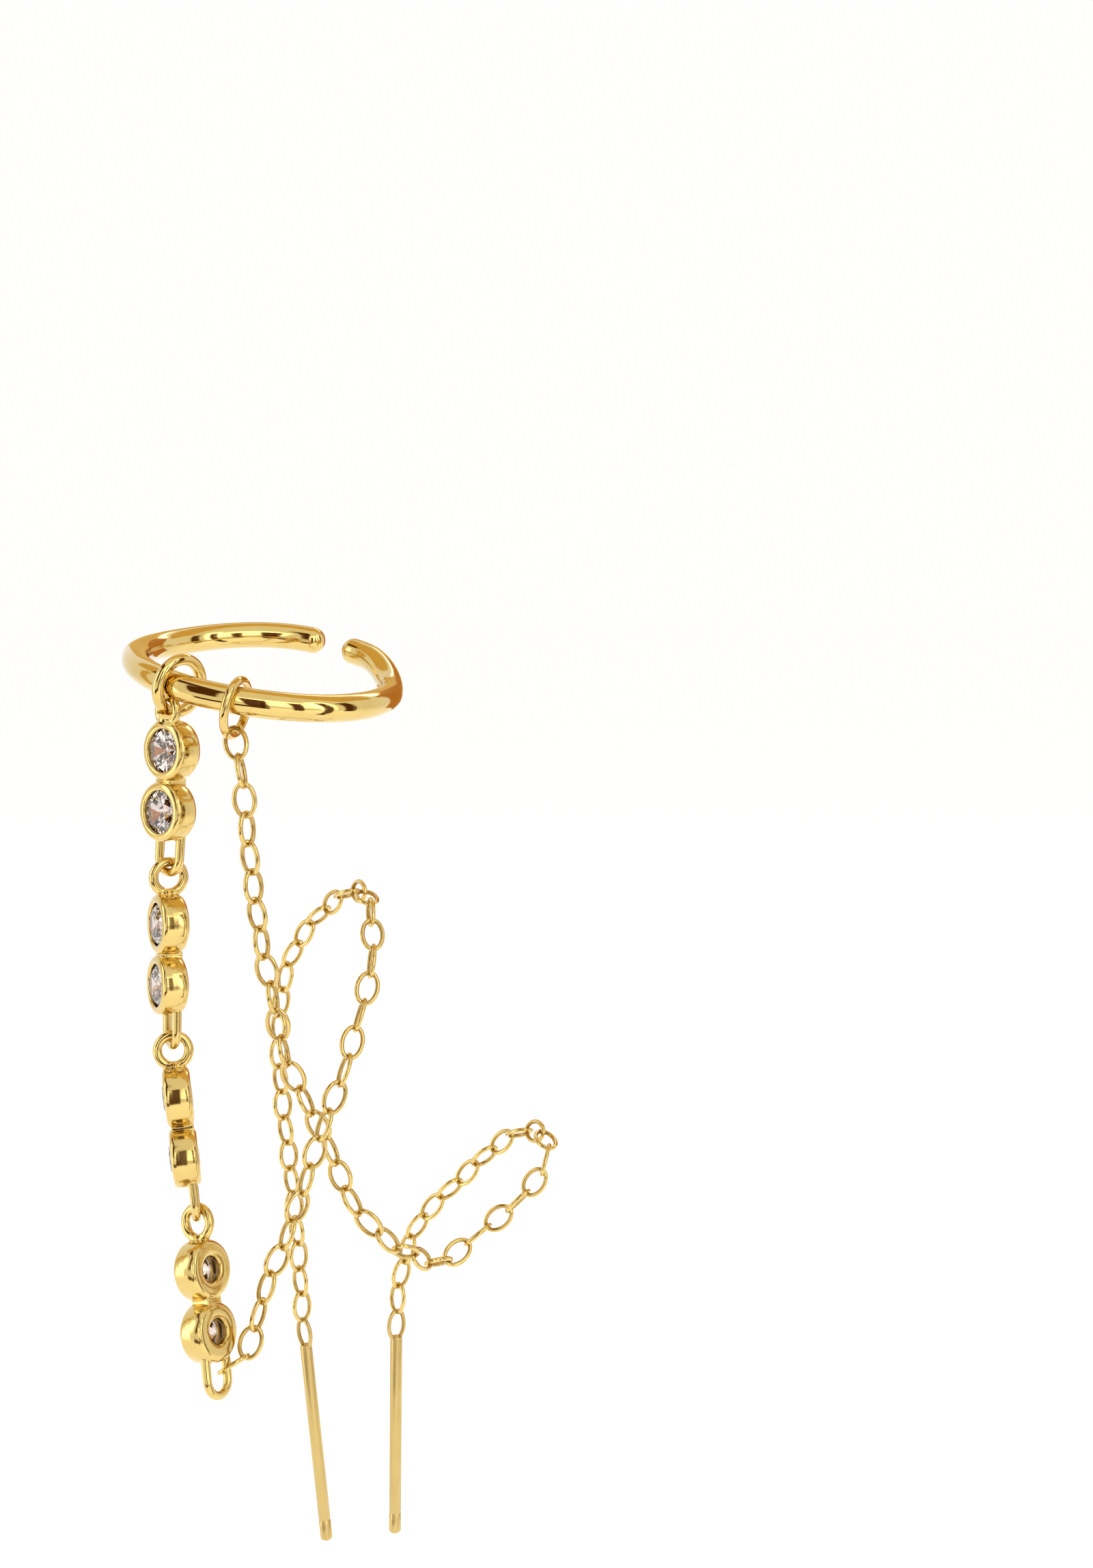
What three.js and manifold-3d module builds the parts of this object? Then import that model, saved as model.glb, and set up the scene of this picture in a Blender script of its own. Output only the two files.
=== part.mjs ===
// Gold-coloured ear cuff: an open round wire ring with a hanging drop of four links
// that hold two round stones each, and two fine cable chains that each end in a
// straight threader post.
// Millimetres, +Z up, front towards -Y. The origin is the centre of the cuff's ring.

import * as THREE from "three";
import { mergeVertices } from "three/addons/utils/BufferGeometryUtils.js";
import Module from "manifold-3d";

const wasm = await Module();
wasm.setup();

// Cuff: an open ring of round wire, lower at the front and at its right side. Both of
// its ends climb at the back, each over its own angle
const CUFF_RADIUS = 5.97;
const CUFF_WIRE = 1.28;
const CUFF_TILT = 8.7;
const CUFF_ROLL = 9.2;
const CUFF_START = -52;
const CUFF_OPENING = 24;
const CUFF_RISE = 0.78;
const CUFF_RIGHT_CLIMB = 44;
const CUFF_LEFT_CLIMB = 84;

// Clearance between pieces that hang in one another
const CLEAR = 0.05;

// Flatness below which soldered faces are one face
const FUSE_FLATNESS = 0.02;

// Bail that carries the drop, and ring that carries the lobe chain
const BAIL_INNER = 1.9;
const BAIL_WIRE = 0.55;
const BAIL_ANGLE = 123;
const BAIL_PUSH = 80;
const BAIL_TURN = 6;
const BAIL_HOOK = 34;
const RING_INNER = 2.12;
const RING_WIRE = 0.4;
const RING_ANGLE = 93;
const RING_PUSH = 8;
const RING_TURN = 12;

// Stones: round brilliants
const STONE_DIAMETER = 2;
const STONE_TABLE = 1.12;
const STONE_CROWN = 0.27;
const STONE_GIRDLE = 0.05;
const STONE_PAVILION = 0.84;

// Bezel cups
const CUP_DIAMETER = 2.74;
const CUP_RIM = 2.5;
const CUP_BACK = 2.4;
const CUP_FRONT = 0.62;
const CUP_REAR = 0.64;
const CUP_LIP = 0.03;
const CUP_LIP_HEIGHT = 0.14;
const CUP_HOLE = 1.1;
const CUP_PITCH = 2.78;
const NECK_WIDTH = 0.9;
const NECK_DEPTH = 1;

// Rings and loops soldered to the cups
const TOP_RING_INNER = 0.98;
const TOP_RING_WIRE = 0.44;
const TOP_RING_SINK = 0.18;
const FIRST_RING_WIRE = 0.3;
const FIRST_RING_FORWARD = 0.4;
const LOOP_WIDTH = 1.8;
const LOOP_WIRE = 0.42;
const LOOP_DROP = 1.64;
const LOOP_BACK = 0.22;

// How each link of the drop hangs: turn of its face to the left, lean of its top to
// the right and to the front, all in degrees
const DROP = [
  { turn: -40, lean: 4.5, tilt: 0 },
  { turn: -62, lean: 1, tilt: -3 },
  { turn: -80, lean: -6.5, tilt: -6 },
  { turn: -120, lean: -7.8, tilt: -15 },
];

// Cable chain
const LINK_PITCH = 1.31;
const LINK_WIDTH = 1.18;
const LINK_WIRE = 0.22;
const LINK_WELD = 0.05;
const LOBE_LINKS = 41;
const UPPER_LINKS = 39;

// Threader posts
const POST_DIAMETER = 0.62;
const POST_LENGTH = 10.5;
const POST_ROUND = 0.2;
const POST_SINK = 0.3;
const LOBE_POST_LEAN = 0.8;
const UPPER_HOLD = 0.33;
const UPPER_POST_LEAN = -5.3;

// Chosen points of the chains' routes: x, y, z and the turn of the links in degrees
const ROUTES = {
  lobe: [
    [-0.17, -6.4, -4.25, 5],
    [0, -6.3, -6.8, 35],
    [0.25, -6.1, -9.5, 35],
    [0.55, -5.85, -12.1, 15],
    [1, -5.5, -14.65, 5],
    [1.4, -5.1, -17.2, 5],
    [2.4, -4.7, -19.6, 10],
    [3.5, -4.5, -21.95, 10],
    [4.2, -4.4, -24.05, 15],
    [5.75, -4.4, -25.85, 20],
    [7, -3.1, -27.1, 20],
    [8.4, -1.3, -28.1, 20],
    [9.8, -0.3, -27.15, 20],
    [11.85, -0.5, -25.4, 10],
    [13.3, -0.8, -23.4, 10],
    [13.2, 0.9, -22.4, 10],
    [11.6, 3, -23, 10],
    [9, 4.2, -25.6, 10],
    [6.7, 4.6, -28.2, 10],
    [5.95, 4.6, -30.5, 10],
    [5.65, 4.6, -32.9, 10],
    [5.6, 4.6, -35.5, 10],
  ],
  upper: [
    [-0.15, -6.75, -30.4, 75],
    [0.15, -6.65, -28.9, 45],
    [0.6, -6.5, -27.4, 20],
    [1.5, -6.3, -25.2, 20],
    [2.35, -6.15, -22.8, 20],
    [3.1, -6, -20.4, 20],
    [4, -5.4, -18.1, 10],
    [4.6, -4.4, -15.9, 0],
    [5.2, -3.2, -13.5, 0],
    [5.1, -1.7, -11.2, 0],
    [4.4, 0.8, -10.4, 0],
    [2.5, 3.2, -11.6, 0],
    [0.6, 4.4, -14.2, 0],
    [-0.1, 4.6, -17.4, 0],
    [-0.05, 4.6, -20.9, 0],
    [0.35, 4.6, -25, 0],
    [0.7, 4.6, -29, 0],
    [0.9, 4.6, -32.8, 0],
    [1.2, 4.6, -36, 0],
  ],
};

const rad = THREE.MathUtils.degToRad;

const gold = new THREE.MeshStandardMaterial({
  color: 0xe0b254,
  roughness: 0.18,
  metalness: 1,
});

const clear = new THREE.MeshStandardMaterial({
  color: 0xe6e4e2,
  roughness: 0.05,
  metalness: 0,
});

// A closed surface whose shared corners are merged, as a solid
function solidOf(geometry, matrix = new THREE.Matrix4()) {
  const plain = new THREE.BufferGeometry();
  plain.setAttribute("position", geometry.getAttribute("position").clone());
  plain.setIndex(geometry.getIndex());
  plain.applyMatrix4(matrix);
  const merged = mergeVertices(plain, 1e-4);
  const corners = [];
  const index = merged.getIndex().array;
  for (let i = 0; i < index.length; i += 3) {
    const [a, b, c] = [index[i], index[i + 1], index[i + 2]];
    if (a !== b && b !== c && c !== a) corners.push(a, b, c);
  }
  return new wasm.Manifold(new wasm.Mesh({
    numProp: 3,
    vertProperties: new Float32Array(merged.getAttribute("position").array),
    triVerts: new Uint32Array(corners),
  }));
}

// Solids soldered to one body
function fuse(solids) {
  let body = solids[0];
  for (const solid of solids.slice(1)) body = body.add(solid);
  const mesh = body.simplify(FUSE_FLATNESS).getMesh();
  const geometry = new THREE.BufferGeometry();
  geometry.setAttribute(
    "position",
    new THREE.Float32BufferAttribute(mesh.vertProperties, 3)
  );
  geometry.setIndex(Array.from(mesh.triVerts));
  return geometry;
}

function named(name, geometry, material) {
  const mesh = new THREE.Mesh(geometry, material);
  mesh.name = name;
  return mesh;
}

// Closed surface through rings of points, with a point at each end
function skin(first, rings, last) {
  const sides = rings[0].length;
  const points = [first, ...rings.flat(), last];
  const index = [];
  const at = (row, side) => 1 + row * sides + (side % sides);
  for (let side = 0; side < sides; side += 1) {
    index.push(0, at(0, side + 1), at(0, side));
    for (let row = 0; row + 1 < rings.length; row += 1) {
      index.push(at(row, side), at(row, side + 1), at(row + 1, side));
      index.push(at(row, side + 1), at(row + 1, side + 1), at(row + 1, side));
    }
    index.push(points.length - 1, at(rings.length - 1, side), at(rings.length - 1, side + 1));
  }
  const geometry = new THREE.BufferGeometry().setFromPoints(points);
  geometry.setIndex(index);
  return geometry;
}

// Oval ring of round wire in the XY plane, its long way along X, flat at its ends
function ovalRing(halfLength, halfWidth, wire, steps, sides) {
  const half = Math.PI / steps;
  const at = (step, inset, height) => {
    const angle = half + 2 * half * step;
    return new THREE.Vector3(
      ((halfLength - inset) / Math.cos(half)) * Math.cos(angle),
      (halfWidth - inset) * Math.sin(angle),
      height
    );
  };
  const points = [];
  const index = [];
  for (let step = 0; step < steps; step += 1) {
    for (let side = 0; side < sides; side += 1) {
      const angle = (2 * Math.PI * side) / sides;
      points.push(at(step, (wire / 2) * Math.cos(angle), (wire / 2) * Math.sin(angle)));
      const [row, next] = [step * sides, ((step + 1) % steps) * sides];
      const after = (side + 1) % sides;
      index.push(row + side, row + after, next + side);
      index.push(row + after, next + after, next + side);
    }
  }
  const geometry = new THREE.BufferGeometry().setFromPoints(points);
  geometry.setIndex(index);
  return geometry;
}

// U of wire that opens upwards: two legs and a half round
class Loop extends THREE.Curve {
  constructor(halfWidth, leg) {
    super();
    this.halfWidth = halfWidth;
    this.leg = leg;
  }

  getPoint(t, target = new THREE.Vector3()) {
    if (t < 0.15) return target.set(-this.halfWidth, 0, -this.leg * (t / 0.15));
    if (t > 0.85) return target.set(this.halfWidth, 0, -this.leg * ((1 - t) / 0.15));
    const angle = Math.PI * ((t - 0.15) / 0.7);
    return target.set(
      -this.halfWidth * Math.cos(angle),
      0,
      -this.leg - this.halfWidth * Math.sin(angle)
    );
  }

  getPointAt(t, target) {
    return this.getPoint(t, target);
  }
}

// Cuff
const cuff = new THREE.Group();
cuff.rotation.set(rad(CUFF_TILT), rad(CUFF_ROLL), 0, "YXZ");
cuff.updateMatrixWorld(true);

// Angle at which the cuff's wire ends, from its rightmost point round the front
const cuffEnd = CUFF_START + 360 - CUFF_OPENING;

// Place and directions of the cuff's wire at an angle
function cuffPlace(degrees) {
  const angle = rad(degrees);
  const out = new THREE.Vector3(Math.cos(angle), -Math.sin(angle), 0);
  const along = new THREE.Vector3(-Math.sin(angle), -Math.cos(angle), 0);
  const right = THREE.MathUtils.smoothstep(-degrees, 0, CUFF_RIGHT_CLIMB);
  const left = THREE.MathUtils.smoothstep(degrees, cuffEnd - CUFF_LEFT_CLIMB, cuffEnd);
  const point = out.clone().multiplyScalar(CUFF_RADIUS);
  point.z = CUFF_RISE * (right + left);
  return { point, out, along };
}

function cuffGeometry() {
  const sides = 10;
  const steps = 30;
  const radius = CUFF_WIRE / 2;
  const rings = [];
  const ring = (degrees, shift, size) => {
    const { point, out, along } = cuffPlace(degrees);
    const row = [];
    for (let side = 0; side < sides; side += 1) {
      const angle = (2 * Math.PI * side) / sides;
      row.push(
        point.clone()
          .addScaledVector(along, shift)
          .addScaledVector(out, size * Math.cos(angle))
          .add(new THREE.Vector3(0, 0, size * Math.sin(angle)))
      );
    }
    return row;
  };
  const first = cuffPlace(CUFF_START);
  const last = cuffPlace(cuffEnd);
  rings.push(ring(CUFF_START, -radius * 0.87, radius * 0.5));
  rings.push(ring(CUFF_START, -radius * 0.5, radius * 0.87));
  for (let step = 0; step <= steps; step += 1) {
    rings.push(ring(CUFF_START + ((cuffEnd - CUFF_START) * step) / steps, 0, radius));
  }
  rings.push(ring(cuffEnd, radius * 0.5, radius * 0.87));
  rings.push(ring(cuffEnd, radius * 0.87, radius * 0.5));
  return skin(
    first.point.clone().addScaledVector(first.along, -radius),
    rings,
    last.point.clone().addScaledVector(last.along, radius)
  );
}

cuff.add(named("cuff_ring", cuffGeometry(), gold));

// A round ring hung on the cuff's wire, its top pushed in by an angle
function hungRing(name, degrees, push, turn, inner, wire) {
  const { point, out, along } = cuffPlace(degrees);
  const slack = (inner - CUFF_WIRE) / 2 - CLEAR;
  const up = new THREE.Vector3(0, 0, 1);
  out.applyAxisAngle(up, rad(-turn));
  along.applyAxisAngle(up, rad(-turn));
  const centre = point.clone()
    .addScaledVector(out, -slack * Math.sin(rad(push)))
    .addScaledVector(up, -slack * Math.cos(rad(push)));
  const ring = named(name, new THREE.TorusGeometry((inner + wire) / 2, wire / 2, 8, 16), gold);
  ring.position.copy(centre);
  ring.quaternion.setFromRotationMatrix(
    new THREE.Matrix4().makeBasis(out, new THREE.Vector3().crossVectors(along, out), along)
  );
  cuff.add(ring);
  return { centre, out, up };
}

const bail = hungRing("drop_bail", BAIL_ANGLE, BAIL_PUSH, BAIL_TURN, BAIL_INNER, BAIL_WIRE);
const chainRing = hungRing("chain_ring", RING_ANGLE, RING_PUSH, RING_TURN, RING_INNER, RING_WIRE);

// Where a piece rests inside a hung ring, an angle to the front of its lowest point
function restPoint({ centre, out, up }, inner, hook) {
  const point = centre.clone()
    .addScaledVector(out, (inner / 2) * Math.sin(rad(hook)))
    .addScaledVector(up, (-inner / 2) * Math.cos(rad(hook)));
  return cuff.localToWorld(point);
}

// Bezel cup: a turned wall with a lip over the stone and an open back, on its own axis
function cupGeometry() {
  const bore = STONE_DIAMETER / 2 + CLEAR;
  const mouth = STONE_DIAMETER / 2 - CUP_LIP;
  const seat = stoneHeight() - 0.1;
  const outline = [
    [mouth, CUP_FRONT],
    [CUP_RIM / 2, CUP_FRONT],
    [CUP_DIAMETER / 2, CUP_FRONT - 0.25],
    [CUP_DIAMETER / 2, 0.3 - CUP_REAR],
    [CUP_BACK / 2, -CUP_REAR],
    [CUP_HOLE / 2 + 0.3, -CUP_REAR + 0.1],
    [CUP_HOLE / 2, -CUP_REAR + 0.3],
    [bore, seat],
    [bore, CUP_FRONT - CUP_LIP_HEIGHT],
    [mouth, CUP_FRONT],
  ].map(([r, z]) => new THREE.Vector2(r, z));
  const lathe = new THREE.LatheGeometry(outline.reverse(), 14);
  lathe.rotateX(Math.PI);
  return lathe;
}

// Height of the girdle's lower edge over the middle of the cup
function stoneHeight() {
  return CUP_FRONT - CUP_LIP_HEIGHT - STONE_GIRDLE - CLEAR;
}

// Round brilliant with its table to the front
function stoneGeometry() {
  const sides = 16;
  const ring = (diameter, height, offset = 0) => {
    const row = [];
    for (let side = 0; side < sides; side += 1) {
      const angle = (2 * Math.PI * (side + offset)) / sides;
      row.push(new THREE.Vector3(
        (diameter / 2) * Math.cos(angle),
        -height,
        (diameter / 2) * Math.sin(angle)
      ));
    }
    return row;
  };
  const low = stoneHeight();
  const table = ring(STONE_TABLE, low + STONE_GIRDLE + STONE_CROWN).filter((_, i) => i % 2 === 0);
  const crown = ring(STONE_DIAMETER, low + STONE_GIRDLE);
  const girdle = ring(STONE_DIAMETER, low);
  const points = [...table, ...crown, ...girdle, new THREE.Vector3(0, STONE_PAVILION - low, 0)];
  const index = [];
  const half = sides / 2;
  const upper = (i) => half + (i % sides);
  const lower = (i) => half + sides + (i % sides);
  for (let i = 1; i + 1 < half; i += 1) index.push(0, i, i + 1);
  for (let i = 0; i < half; i += 1) {
    const next = (i + 1) % half;
    index.push(i, upper(2 * i), upper(2 * i + 1));
    index.push(i, upper(2 * i + 1), next);
    index.push(next, upper(2 * i + 1), upper(2 * i + 2));
  }
  for (let i = 0; i < sides; i += 1) {
    index.push(upper(i), lower(i), lower(i + 1));
    index.push(upper(i), lower(i + 1), upper(i + 1));
    index.push(lower(i), points.length - 1, lower(i + 1));
  }
  const geometry = new THREE.BufferGeometry().setFromPoints(points);
  geometry.setIndex(index);
  return geometry;
}

// Inner height of the ring on the drop's first link, which clears the bail's lowest part
function firstRingInner() {
  const radius = (BAIL_INNER + BAIL_WIRE) / 2;
  return BAIL_WIRE + CLEAR + radius * (1 - Math.cos(rad(BAIL_HOOK)));
}

// Heights in one link of the drop, down from the point that it hangs by
function pairHeights(first) {
  const cupTop = first
    ? -firstRingInner()
    : -(TOP_RING_INNER + TOP_RING_WIRE - TOP_RING_SINK);
  const upperCup = cupTop - CUP_DIAMETER / 2;
  const lowerCup = upperCup - CUP_PITCH;
  const cupBottom = lowerCup - CUP_DIAMETER / 2;
  return { cupTop, upperCup, lowerCup, cupBottom, rest: cupBottom - LOOP_DROP + LOOP_WIRE };
}

// One link of the drop: two cups, their neck, a ring above and a loop below, soldered
function pairGeometry(first) {
  const { cupTop, upperCup, lowerCup, cupBottom } = pairHeights(first);
  const place = (x, y, z) => new THREE.Matrix4().makeTranslation(x, y, z);
  const cup = cupGeometry();
  const parts = [
    solidOf(cup, place(0, 0, upperCup)),
    solidOf(cup, place(0, 0, lowerCup)),
  ];
  const neck = new THREE.BoxGeometry(NECK_WIDTH, NECK_DEPTH, 0.6);
  parts.push(solidOf(neck, place(0, 0.05, (upperCup + lowerCup) / 2)));
  if (first) {
    const inner = -cupTop / 2;
    const ring = new THREE.TorusGeometry(inner + FIRST_RING_WIRE / 2, FIRST_RING_WIRE / 2, 6, 12);
    ring.rotateX(Math.PI / 2);
    parts.push(solidOf(ring, place(0, -FIRST_RING_FORWARD, -inner)));
  } else {
    const ring = new THREE.TorusGeometry(
      (TOP_RING_INNER + TOP_RING_WIRE) / 2,
      TOP_RING_WIRE / 2,
      6,
      12
    );
    ring.rotateY(Math.PI / 2);
    parts.push(solidOf(ring, place(0, 0, -TOP_RING_INNER / 2)));
  }
  const halfWidth = (LOOP_WIDTH - LOOP_WIRE) / 2;
  const sink = 0.45;
  const loop = new THREE.ExtrudeGeometry(
    new THREE.Shape(new THREE.EllipseCurve(0, 0, LOOP_WIRE / 2, LOOP_WIRE / 2).getPoints(6).slice(0, 6)),
    {
      steps: 12,
      bevelEnabled: false,
      extrudePath: new Loop(halfWidth, LOOP_DROP + sink - halfWidth - LOOP_WIRE / 2),
    }
  );
  parts.push(solidOf(loop, place(0, LOOP_BACK, cupBottom + sink)));
  return fuse(parts);
}

// The drop, each link hung in the loop of the one above
const drop = new THREE.Group();
let hang = restPoint(bail, BAIL_INNER, BAIL_HOOK);
let lastPair = null;
DROP.forEach(({ turn, lean, tilt }, i) => {
  const first = i === 0;
  const heights = pairHeights(first);
  const pair = new THREE.Group();
  pair.rotation.set(rad(tilt), rad(lean), rad(turn), "YXZ");
  pair.position.set(hang.x, hang.y, hang.z + CLEAR);
  if (first) {
    const shift = new THREE.Vector3(0, FIRST_RING_FORWARD, 0);
    shift.applyAxisAngle(new THREE.Vector3(0, 0, 1), rad(turn));
    pair.position.add(shift);
  }
  pair.add(named(`bezel_pair_${i + 1}`, pairGeometry(first), gold));
  [heights.upperCup, heights.lowerCup].forEach((height, k) => {
    const stone = named(`stone_${2 * i + k + 1}`, stoneGeometry(), clear);
    stone.position.set(0, 0, height);
    pair.add(stone);
  });
  drop.add(pair);
  pair.updateMatrixWorld(true);
  hang = pair.localToWorld(new THREE.Vector3(0, LOOP_BACK, heights.rest));
  lastPair = { pair, heights };
});

// Points where neighbouring links meet, one pitch apart along the route
function joints(start, route, count) {
  const points = [start, ...route.map(([x, y, z]) => new THREE.Vector3(x, y, z))];
  const turns = [route[0][3], ...route.map((row) => row[3])];
  const curve = new THREE.CatmullRomCurve3(points, false, "centripetal");
  const samples = 12000;
  const found = [{ point: start.clone(), turn: turns[0] }];
  for (let i = 1; i <= samples && found.length <= count; i += 1) {
    const point = curve.getPoint(i / samples);
    if (point.distanceTo(found[found.length - 1].point) >= LINK_PITCH) {
      const place = (i / samples) * (points.length - 1);
      const low = Math.min(Math.floor(place), points.length - 2);
      found.push({ point, turn: turns[low] + (place - low) * (turns[low + 1] - turns[low]) });
    }
  }
  return found;
}

// Links of a chain as matrices, each turned a quarter round from its neighbour
function links(start, route, count) {
  const list = joints(start, route, count);
  const frames = [];
  let face = new THREE.Vector3(0, -1, 0);
  for (let i = 0; i + 1 < list.length; i += 1) {
    const along = list[i + 1].point.clone().sub(list[i].point).normalize();
    face = face.clone().addScaledVector(along, -face.dot(along)).normalize();
    const turn = rad(list[i].turn + (i % 2) * 90);
    const normal = face.clone().applyAxisAngle(along, turn);
    const across = new THREE.Vector3().crossVectors(normal, along);
    const matrix = new THREE.Matrix4().makeBasis(along, across, normal);
    matrix.setPosition(list[i].point.clone().add(list[i + 1].point).multiplyScalar(0.5));
    frames.push({ matrix, along, end: list[i + 1].point });
  }
  return frames;
}

const LINK_HALF = (LINK_PITCH + LINK_WIRE - LINK_WELD) / 2;

function linkGeometry() {
  return ovalRing(LINK_HALF, (LINK_WIDTH - LINK_WIRE) / 2, LINK_WIRE, 10, 5);
}

// Threader post on the chain's last link: a pin with a round tip, soldered to a link
function postSolid(last, lean) {
  const link = linkGeometry();
  const along = new THREE.Vector3(-Math.sin(rad(lean)), 0, -Math.cos(rad(lean)));
  const shift = LINK_PITCH / 2 + LINK_WELD + CLEAR;
  const centre = last.end.clone().addScaledVector(along, shift);
  const normal = new THREE.Vector3().setFromMatrixColumn(last.matrix, 1);
  normal.addScaledVector(along, -normal.dot(along)).normalize();
  const across = new THREE.Vector3().crossVectors(normal, along);
  const held = new THREE.Matrix4().makeBasis(along, across, normal);
  held.setPosition(centre);
  const radius = POST_DIAMETER / 2;
  const outline = [
    [0, 0],
    [radius - 0.08, 0],
    [radius, -0.08],
    [radius, -POST_LENGTH + POST_ROUND],
    [radius * 0.7, -POST_LENGTH + 0.05],
    [0, -POST_LENGTH],
  ].map(([r, y]) => new THREE.Vector2(r, y));
  const pin = new THREE.LatheGeometry(outline.reverse(), 10);
  const aim = new THREE.Matrix4().makeRotationFromQuaternion(
    new THREE.Quaternion().setFromUnitVectors(new THREE.Vector3(0, -1, 0), along)
  );
  const top = centre.clone().addScaledVector(along, LINK_HALF + LINK_WIRE / 2 - POST_SINK);
  aim.setPosition(top);
  return fuse([solidOf(pin, aim), solidOf(link, held)]);
}

const chains = new THREE.Group();

function chain(name, postName, start, route, count, lean) {
  const frames = links(start, route, count);
  const link = linkGeometry();
  chains.add(named(name, fuse(frames.map(({ matrix }) => solidOf(link, matrix))), gold));
  const last = frames[frames.length - 1];
  chains.add(named(postName, postSolid(last, lean), gold));
}

// The lobe chain starts on the cuff's small ring
const lobeStart = restPoint(chainRing, RING_INNER, 0);
lobeStart.z += CLEAR + LINK_WELD / 2;
chain("lobe_chain", "lobe_post", lobeStart, ROUTES.lobe, LOBE_LINKS, LOBE_POST_LEAN);

// The upper chain starts on the right leg of the drop's last loop
const legTop = new THREE.Vector3(
  -(LOOP_WIDTH - LOOP_WIRE) / 2,
  LOOP_BACK,
  lastPair.heights.cupBottom - UPPER_HOLD
);
const legFoot = lastPair.pair.localToWorld(legTop.clone().setZ(legTop.z - 1));
const upperStart = lastPair.pair.localToWorld(legTop);
const leg = legFoot.sub(upperStart);
const upperPull = new THREE.Vector3(...ROUTES.upper[0].slice(0, 3)).sub(upperStart).normalize();
const upperReach = (LOOP_WIRE / 2 + CLEAR + LINK_WELD / 2) / Math.sin(upperPull.angleTo(leg));
upperStart.addScaledVector(upperPull, -upperReach);
chain("upper_chain", "upper_post", upperStart, ROUTES.upper, UPPER_LINKS, UPPER_POST_LEAN);

const earCuff = new THREE.Group();
earCuff.name = "ear_cuff";
earCuff.add(cuff, drop, chains);

export default earCuff;
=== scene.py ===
"""Looks of a gold-coloured ear cuff with a drop of bezel-set stones and two chains.

Sizes are in millimetres and become metres when a piece is finished. +Z is up and the
front is towards -Y. The origin is the centre of the cuff's ring.
"""

import logging
import math
from dataclasses import dataclass, field
from enum import Enum
from typing import Callable, Iterable, Sequence

import bmesh
import bpy
from mathutils import Matrix, Vector, noise


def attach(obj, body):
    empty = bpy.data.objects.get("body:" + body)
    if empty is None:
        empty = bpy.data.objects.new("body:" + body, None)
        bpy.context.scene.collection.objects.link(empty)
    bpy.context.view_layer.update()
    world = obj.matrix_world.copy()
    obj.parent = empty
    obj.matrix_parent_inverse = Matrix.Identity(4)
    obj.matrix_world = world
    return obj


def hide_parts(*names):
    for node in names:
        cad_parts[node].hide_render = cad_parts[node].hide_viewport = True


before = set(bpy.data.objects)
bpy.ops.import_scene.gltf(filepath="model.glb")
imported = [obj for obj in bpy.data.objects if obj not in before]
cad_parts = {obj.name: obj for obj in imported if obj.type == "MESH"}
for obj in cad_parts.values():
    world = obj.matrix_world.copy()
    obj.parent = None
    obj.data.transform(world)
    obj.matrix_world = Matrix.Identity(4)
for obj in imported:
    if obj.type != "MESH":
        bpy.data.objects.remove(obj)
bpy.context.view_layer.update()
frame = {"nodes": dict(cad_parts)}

MM = 0.001
LOG = logging.getLogger("ear_cuff")
Mesh = bmesh.types.BMesh
Material = bpy.types.Material


def turned(tilt: float, lean: float, turn: float) -> Matrix:
    """Turn of a hanging piece, first about its upright, then forward, then sideways.

    Args:
        tilt: Degrees that the top leans to the front.
        lean: Degrees that the top leans to the right.
        turn: Degrees about the upright.

    Returns:
        The turn as a 4 by 4 matrix.
    """
    return (
        Matrix.Rotation(math.radians(lean), 4, "Y")
        @ Matrix.Rotation(math.radians(tilt), 4, "X")
        @ Matrix.Rotation(math.radians(turn), 4, "Z")
    )


# Shader sockets that add up as numbers do


class Amount:
    """A number that varies over a surface, as the output of a shader node."""

    def __init__(self, book: "NodeBook", socket: bpy.types.NodeSocket) -> None:
        """Keeps the node tree and the socket."""
        self.book = book
        self.socket = socket

    def _maths(self, operation: str, first: object, second: object) -> "Amount":
        """Adds one Math node."""
        node = self.book.add("ShaderNodeMath", {"operation": operation}, {0: first, 1: second})
        return Amount(self.book, node.outputs[0])

    def __add__(self, other: object) -> "Amount":
        """Sum."""
        return self._maths("ADD", self, other)

    __radd__ = __add__

    def __mul__(self, other: object) -> "Amount":
        """Product."""
        return self._maths("MULTIPLY", self, other)

    __rmul__ = __mul__


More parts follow.
